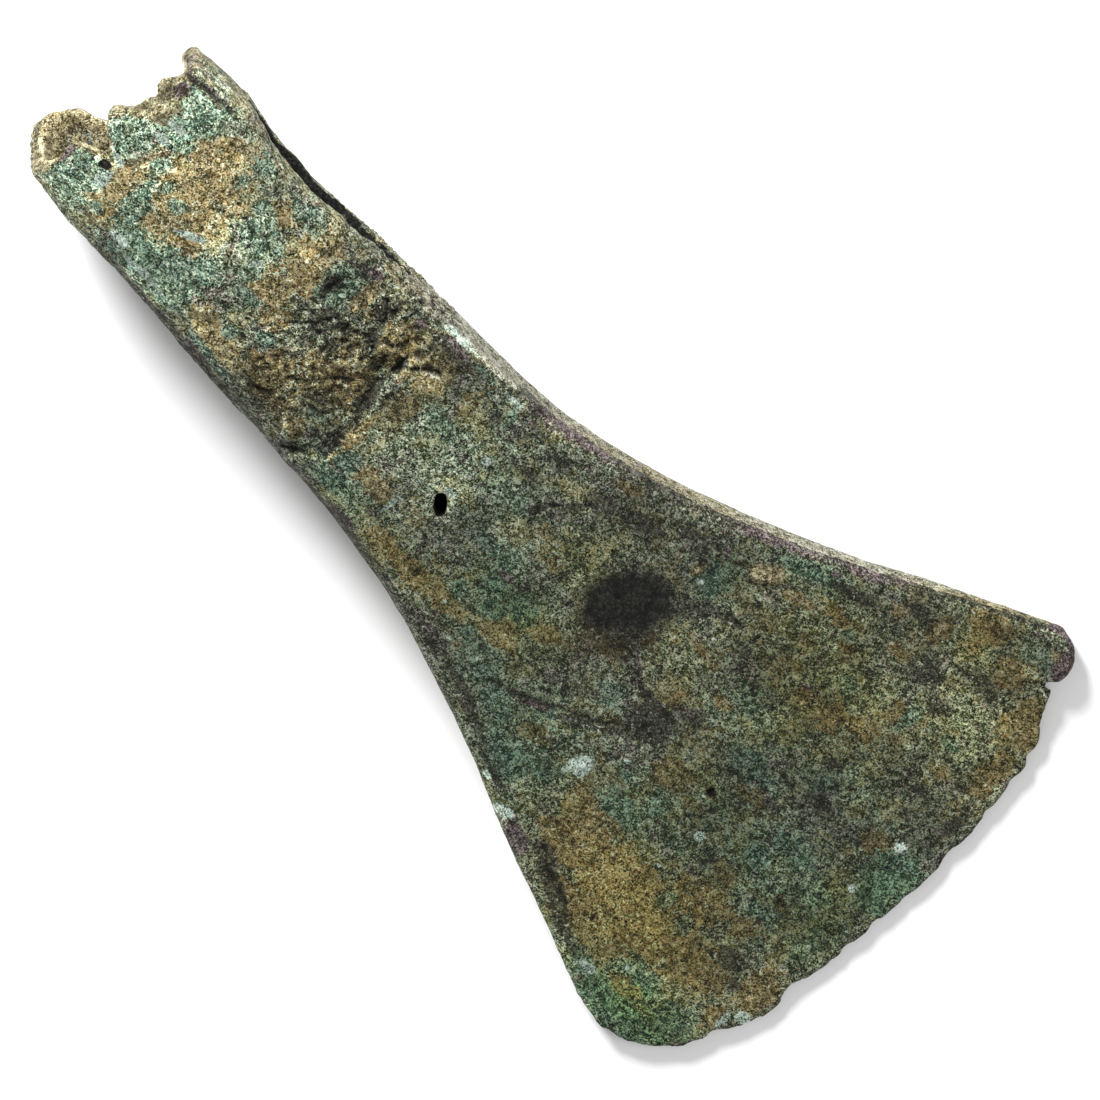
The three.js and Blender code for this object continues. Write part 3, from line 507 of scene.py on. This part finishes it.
elsewhere = {"earth": 1.15 * wander(8, 10), "malachite": 1.0 * wander(7, 30),
             "dark": 0.9 * wander(6, 50), "cuprite": 0.72 * wander(5, 70),
             "mint": 0.62 * wander(3, 90), "pale": 0.6 * wander(14, 110)}
placed = {"earth": EARTH, "malachite": MALACHITE, "dark": DARK, "cuprite": CUPRITE, "mint": MINT,
          "stain_and_painted_shade": STAIN, "umber": UMBER, "pale": PALE, "tan": TAN, "verdigris": VERDIGRIS,
          "yellowing": YELLOWING}
SCATTER = {"earth": 0.1, "malachite": 0.08, "dark": 0.05}
fields = {}
for name, rows in placed.items():
    hidden = elsewhere.get(name, 0) * (1 - front)
    fields[name] = (patches(rows) + SCATTER.get(name, 0)) * front + hidden

# The side's upper part, under the arris, is dark or purple, and only its lower part is pale.
face_height = np.interp(x, [0, 44, 60, 146], [8.6, 6.2, 6.0, 0.8])
under_arris = ramp(z / face_height, 0.48, 0.7) * ramp(x, 56, 66) * high_side
arris = np.maximum(arris, under_arris)
high_side = high_side * (1 - under_arris)
fields["cream"] = along_head(CREAM) * high_side
fields["tan"] = np.maximum(fields["tan"], along_head(CLAY) * high_side)
fields["tan"] = np.maximum(fields["tan"], 1.2 * np.maximum(broken, lining * (1 - ramp(x, 4, 7))))
fields["dark"] = np.maximum(fields["dark"] * (1 - 0.7 * high_side), 1.1 * edge_rim)
fields["dark"] = np.maximum(fields["dark"], 0.9 * arris)
# Painted light on the lining just inside the mouth, and painted shade on the broken rim.
fields["painted_light_and_shade"] = lining * (1 - ramp(x, 4, 7)) - 0.35 * broken
fields["cuprite"] = fields["cuprite"] * (1 - high_side) * (1 - lining)
purple_rims = np.maximum(along_head(PLUM) * arris, hook_rim)
fields["cuprite"] = np.maximum(fields["cuprite"], purple_rims)
fields["earth"] = np.maximum(fields["earth"] * (1 - high_side), 0.95 * lining)
fields["malachite"] = fields["malachite"] * (1 - lining) * (1 - broken)
fields["pale"] = fields["pale"] * (1 - lining)
# Painted shade: the lining darkens to brown and then to black deeper into the socket.
fields["umber"] = np.maximum(fields["umber"], 1.2 * lining * ramp(x, 4.0, 7.0))
fields["stain_and_painted_shade"] = np.maximum(fields["stain_and_painted_shade"] * (1 - high_side), 1.3 * lining * ramp(x, 7, 12))
# Painted shade: the insides of both casting holes and of the gash are painted black.
for painted_shade_place in (neck_hole, butt_hole, in_gash):
    fields["stain_and_painted_shade"] = np.maximum(fields["stain_and_painted_shade"], 1.5 * painted_shade_place)
fields["crest"] = np.clip(crest, -3, 3)
fields["crack"] = np.zeros(len(x))
for line, half_width, depth in CRACKS:
    mark = min(0.95, 0.5 + 0.7 * depth) * np.exp(-(from_line(line) / half_width) ** 2)
    fields["crack"] = np.maximum(fields["crack"], mark * front)
for name, values in fields.items():
    layer = head.data.attributes.new(name, "FLOAT", "POINT")
    layer.data.foreach_set("value", values.astype(np.float32))

bronze = bpy.data.materials.new("bronze_patina")
bronze.use_nodes = True
tree = bronze.node_tree
tree.nodes.clear()


def new_group(name, inputs, outputs):
    group = bpy.data.node_groups.new(name, "ShaderNodeTree")
    for title, kind, value in inputs:
        socket = group.interface.new_socket(title, in_out="INPUT", socket_type=kind)
        if value is not None:
            socket.default_value = value
    for title, kind in outputs:
        group.interface.new_socket(title, in_out="OUTPUT", socket_type=kind)
    return group, group.nodes.new("NodeGroupInput"), group.nodes.new("NodeGroupOutput")


def add(tree, kind, wires=(), **settings):
    node = tree.nodes.new(kind)
    for key, value in settings.items():
        setattr(node, key, value)
    for socket, source in dict(wires).items():
        if isinstance(source, bpy.types.NodeSocket):
            tree.links.new(source, node.inputs[socket])
        else:
            node.inputs[socket].default_value = source
    return node


# Ragged edges for a soft patch: the patch's field is torn by a noise, and flecks are left bare.
ragged, given, gives = new_group(
    "ragged_patch",
    [("Field", "NodeSocketFloat", 0.0), ("Torn", "NodeSocketFloat", 0.5),
     ("Flecks", "NodeSocketFloat", 0.5), ("Rag", "NodeSocketFloat", 0.6),
     ("Edge", "NodeSocketFloat", 0.1), ("Bare", "NodeSocketFloat", 0.5)],
    [("Mask", "NodeSocketFloat")])
centred = add(ragged, "ShaderNodeMath", {0: given.outputs["Torn"], 1: 0.5}, operation="SUBTRACT")
rag = add(ragged, "ShaderNodeMath", {0: centred.outputs[0], 1: given.outputs["Rag"],
                                     2: given.outputs["Field"]}, operation="MULTIPLY_ADD")
start = add(ragged, "ShaderNodeMath", {0: 0.5, 1: given.outputs["Edge"]}, operation="SUBTRACT")
end = add(ragged, "ShaderNodeMath", {0: 0.5, 1: given.outputs["Edge"]}, operation="ADD")
edge = add(ragged, "ShaderNodeMapRange", {"Value": rag.outputs[0], "From Min": start.outputs[0],
                                          "From Max": end.outputs[0]}, interpolation_type="SMOOTHSTEP")
less = add(ragged, "ShaderNodeMath", {0: given.outputs["Flecks"], 1: given.outputs["Bare"], 2: 0.0},
           operation="MULTIPLY_ADD")
keep = add(ragged, "ShaderNodeMath", {0: 1.0, 1: less.outputs[0]}, operation="SUBTRACT")
left = add(ragged, "ShaderNodeMath", {0: edge.outputs["Result"], 1: keep.outputs[0]}, operation="MULTIPLY")
ragged.links.new(left.outputs[0], gives.inputs["Mask"])

# The patterns are laid out in millimetres.
where = add(tree, "ShaderNodeTexCoord")
place = add(tree, "ShaderNodeVectorMath", {0: where.outputs["Object"], 1: (1 / MM, 1 / MM, 1 / MM)},
            operation="MULTIPLY")
spot = place.outputs[0]


def field(name):
    return add(tree, "ShaderNodeAttribute", attribute_name=name).outputs["Fac"]


def patch(name, torn, rag, edge, bare=0.6):
    node = add(tree, "ShaderNodeGroup", node_tree=ragged)
    for socket, value in (("Field", field(name)), ("Torn", torn), ("Flecks", islands)):
        tree.links.new(value, node.inputs[socket])
    node.inputs["Rag"].default_value = rag
    node.inputs["Edge"].default_value = edge
    node.inputs["Bare"].default_value = bare
    return node.outputs["Mask"]


def grain(size, detail, rough, curl):
    return add(tree, "ShaderNodeTexNoise", {"Vector": spot, "Scale": 1 / size, "Detail": detail,
                                            "Roughness": rough, "Distortion": curl}).outputs["Fac"]


def stepped(value, low, high):
    return add(tree, "ShaderNodeMapRange", {"Value": value, "From Min": low, "From Max": high},
               interpolation_type="SMOOTHSTEP").outputs["Result"]


# Colours are given as they look on a screen, 0 to 255, and turned into linear light.
def linear(colour):
    return [((c / 255 + 0.055) / 1.055) ** 2.4 for c in colour]


def shades(value, *stops):
    node = add(tree, "ShaderNodeValToRGB", {"Fac": value})
    marks = node.color_ramp.elements
    while len(marks) < len(stops):
        marks.new(0.5)
    for mark, (at, colour) in zip(marks, stops):
        mark.position = at
        mark.color = (*linear(colour), 1)
    return node.outputs["Color"]


# The four tones of one salt or earth: in its pits, low, high, and on its crests.
def tones(pits, low_tone, high_tone, crests_tone):
    return shades(grit, (0.436, pits), (0.483, low_tone), (0.517, high_tone), (0.566, crests_tone))


def over(mask, under, above, blend="MIX"):
    node = add(tree, "ShaderNodeMix", {0: mask, 6: under, 7: above}, data_type="RGBA", blend_type=blend)
    return node.outputs[2]


def ranged(value, low, high, to_low, to_high, **settings):
    return add(tree, "ShaderNodeMapRange", {"Value": value, "From Min": low, "From Max": high,
                                            "To Min": to_low, "To Max": to_high},
               **settings).outputs["Result"]


def brightened(colour, factor):
    grey = add(tree, "ShaderNodeCombineColor", {0: factor, 1: factor, 2: factor}).outputs[0]
    return over(1.0, colour, grey, "MULTIPLY")


def weighed(*parts):
    total = 0.0
    for value, share in parts:
        node = add(tree, "ShaderNodeMath", {0: value, 1: share, 2: total}, operation="MULTIPLY_ADD")
        total = node.outputs[0]
    return total


# Grains of a fifth of a millimetre, curls of a half, crumbs of one, blotches of four, and crisp
# crystals of a half: together they are one height that the tones and the bump share.
fine = grain(0.21, 2.0, 0.65, 0.6)
curl = grain(0.42, 3.0, 0.7, 1.8)
crumb = grain(1.2, 4.0, 0.65, 0.5)
blotch = grain(4.0, 4.0, 0.6, 0.3)
bend = add(tree, "ShaderNodeTexNoise", {"Vector": spot, "Scale": 1.6, "Detail": 3.0})
bent = add(tree, "ShaderNodeVectorMath", {0: bend.outputs["Color"], 1: (1.6, 1.6, 1.6), 2: spot},
           operation="MULTIPLY_ADD").outputs[0]
crystals = add(tree, "ShaderNodeTexVoronoi", {"Vector": bent, "Scale": 2.4})
crystal = add(tree, "ShaderNodeSeparateColor", {0: crystals.outputs["Color"]}).outputs[0]
grit = weighed((fine, 0.44), (curl, 0.26), (crumb, 0.12), (blotch, 0.08), (crystal, 0.10))
rag_one = weighed((grain(2.2, 3.0, 0.66, 0.8), 0.86), (curl, 0.14))
rag_two = weighed((grain(1.6, 3.0, 0.66, 1.0), 0.86), (curl, 0.14))
islands = stepped(weighed((crumb, 0.6), (curl, 0.4)), 0.53, 0.47)
hue = weighed((blotch, 0.5), (rag_two, 0.5))

# Bare skin first, in three hues, then each patch over the last, and painted shade and light from the
# relief on top.
skin = tones((12, 17, 2), (56, 66, 46), (90, 99, 78), (160, 166, 147))
olive = tones((20, 18, 1), (68, 66, 36), (99, 97, 65), (156, 153, 123))
lilac = tones((19, 18, 12), (61, 58, 49), (91, 87, 76), (160, 156, 145))
colour = over(stepped(hue, 0.50, 0.55), skin, olive)
colour = over(stepped(hue, 0.46, 0.42), colour, lilac)
colour = over(patch("earth", rag_one, 1.8, 0.08, 0.5), colour,
              tones((40, 30, 4), (91, 77, 40), (115, 100, 63), (148, 136, 104)))
colour = over(patch("malachite", rag_two, 1.8, 0.08, 0.45), colour,
              tones((5, 23, 13), (42, 63, 49), (71, 93, 76), (140, 157, 139)))
# Brown patches, and the painted brown shade on the lining inside the socket.
colour = over(patch("umber", rag_one, 1.0, 0.3, 0.2), colour,
              tones((18, 13, 4), (48, 41, 21), (68, 60, 36), (106, 97, 68)))
colour = over(patch("dark", rag_two, -1.3, 0.15, 0.3), colour,
              tones((11, 11, 8), (35, 34, 28), (54, 53, 44), (100, 100, 84)))
specks = stepped(grain(0.42, 1.0, 0.5, 1.2), 0.385, 0.325)
# Painted glints: sparse pale flecks stand in for light caught on the grains.
painted_glints = stepped(grain(0.6, 2.0, 0.6, 0.8), 0.62, 0.67)
colour = over(painted_glints, colour, shades(grit, (0.45, (120, 126, 104)), (0.56, (182, 188, 168))))
colour = brightened(colour, ranged(grain(9.0, 3.0, 0.6, 0.4), 0.35, 0.65, 0.62, 1.22))
colour = over(field("verdigris"), colour, (0.80, 1.03, 0.93, 1), "MULTIPLY")
colour = over(field("yellowing"), colour, (1.0, 0.98, 0.64, 1), "MULTIPLY")
colour = brightened(colour, ranged(field("pale"), 0.0, 1.0, 1.0, 2.7, clamp=False))
colour = over(patch("tan", rag_one, 1.5, 0.12, 0.4), colour,
              tones((50, 42, 18), (114, 103, 70), (142, 131, 97), (184, 176, 146)))
# Painted light on the lining near the mouth and painted shade on the broken rim.
colour = brightened(colour, ranged(field("painted_light_and_shade"), -1.0, 1.0, 0.2, 1.8))
colour = over(patch("cream", rag_two, 1.6, 0.12, 0.35), colour,
              tones((58, 54, 38), (122, 118, 98), (148, 146, 128), (190, 190, 174)))
colour = over(patch("mint", rag_one, 1.2, 0.1, 0.25), colour,
              tones((90, 108, 94), (146, 165, 150), (176, 193, 180), (216, 229, 216)))
colour = over(patch("cuprite", rag_one, -1.2, 0.15, 0.3), colour,
              tones((28, 19, 19), (58, 46, 46), (80, 68, 69), (138, 126, 125)))
# The black stain, and the painted black shade in the holes, the gash and deep in the socket.
colour = over(patch("stain_and_painted_shade", rag_one, 0.9, 0.4, 0.0), colour,
              tones((2, 2, 1), (9, 9, 7), (16, 16, 13), (50, 50, 43)))
colour = over(patch("crack", rag_two, 3.2, 0.3, 0.3), colour,
              tones((4, 4, 2), (18, 17, 11), (28, 26, 18), (66, 62, 48)))
colour = over(specks, colour, shades(grit, (0.45, (10, 11, 7)), (0.56, (40, 42, 32))))
# Painted shade in the hollows and painted light on the crests of the relief.
colour = brightened(colour, ranged(field("crest"), -1.6, 1.6, 0.45, 1.5))

shader = add(tree, "ShaderNodeBsdfPrincipled", {"Base Color": colour, "Metallic": 0.0,
                                                "Specular IOR Level": 0.18})
tree.links.new(ranged(crumb, 0.35, 0.65, 0.85, 0.5), shader.inputs["Roughness"])
bump = add(tree, "ShaderNodeBump", {"Height": grit, "Strength": 1.0, "Distance": 1.1 * MM})
tree.links.new(bump.outputs["Normal"], shader.inputs["Normal"])
finish = add(tree, "ShaderNodeOutputMaterial")
tree.links.new(shader.outputs["BSDF"], finish.inputs["Surface"])
head.data.materials.clear()
head.data.materials.append(bronze)

# A plain pale floor under the head, soft light from above and from the side of the blade that
# looks up in the picture, and the camera above and in front, looking down at the lying head.
bpy.ops.object.select_all(action="DESELECT")
FLOOR_WIDTH = 6.0
bpy.ops.mesh.primitive_plane_add(size=FLOOR_WIDTH, location=(0, 0, 0))
floor = bpy.context.object
floor.name = "floor"
paper = bpy.data.materials.new("paper")
paper.use_nodes = True
matt = paper.node_tree.nodes["Principled BSDF"]
matt.inputs["Base Color"].default_value = (0.9, 0.9, 0.9, 1)
matt.inputs["Roughness"].default_value = 0.9
floor.data.materials.append(paper)

# The camera looks 21 degrees off the face's normal, the head's length running down to the right.
# The lens is long, as the photo shows next to no perspective, and the picture's width and middle
# are given on the head as it stands square.
OFF_NORMAL = math.radians(21)
HEAD_TURN = math.radians(46.466)
PICTURE_WIDTH = 138.36
LENS, SENSOR = 1000, 36
toward = np.array([-math.sin(HEAD_TURN) * math.sin(OFF_NORMAL),
                   math.cos(HEAD_TURN) * math.sin(OFF_NORMAL), math.cos(OFF_NORMAL)])
right = np.array([math.cos(HEAD_TURN), math.sin(HEAD_TURN), 0])
PICTURE_MIDDLE = np.array([81.5, 0.13, 0])
eye = PICTURE_MIDDLE + toward * PICTURE_WIDTH * LENS / SENSOR


def lying(direction):
    a, b, c = direction
    return Vector((a * math.cos(LIE) + c * math.sin(LIE), b, -a * math.sin(LIE) + c * math.cos(LIE)))


back = lying(toward)
across = lying(right)
up = back.cross(across)
camera = bpy.data.objects.new("camera", bpy.data.cameras.new("camera"))
bpy.context.scene.collection.objects.link(camera)
camera.data.lens = LENS
camera.data.sensor_width = SENSOR
camera.rotation_euler = Matrix((across, up, back)).transposed().to_euler()
camera.location = Vector(laid_down(eye[None])[0])
bpy.context.scene.camera = camera


def lamp(name, offset, size, watts):
    light = bpy.data.objects.new(name, bpy.data.lights.new(name, "AREA"))
    bpy.context.scene.collection.objects.link(light)
    light.data.shape = "DISK"
    light.data.size = size
    light.data.energy = watts
    light.location = across * offset[0] + up * offset[1] + back * offset[2]
    light.rotation_euler = light.location.to_track_quat("Z", "Y").to_euler()


lamp("key", (-0.45, 0.75, 0.7), 0.35, 30)
lamp("fill", (0.6, -0.2, 0.9), 0.8, 4)
world = bpy.data.worlds.new("studio")
bpy.context.scene.world = world
world.use_nodes = True
air = world.node_tree.nodes["Background"]
air.inputs["Color"].default_value = (1, 1, 1, 1)
air.inputs["Strength"].default_value = 0.45
bpy.context.scene.view_settings.view_transform = "Standard"
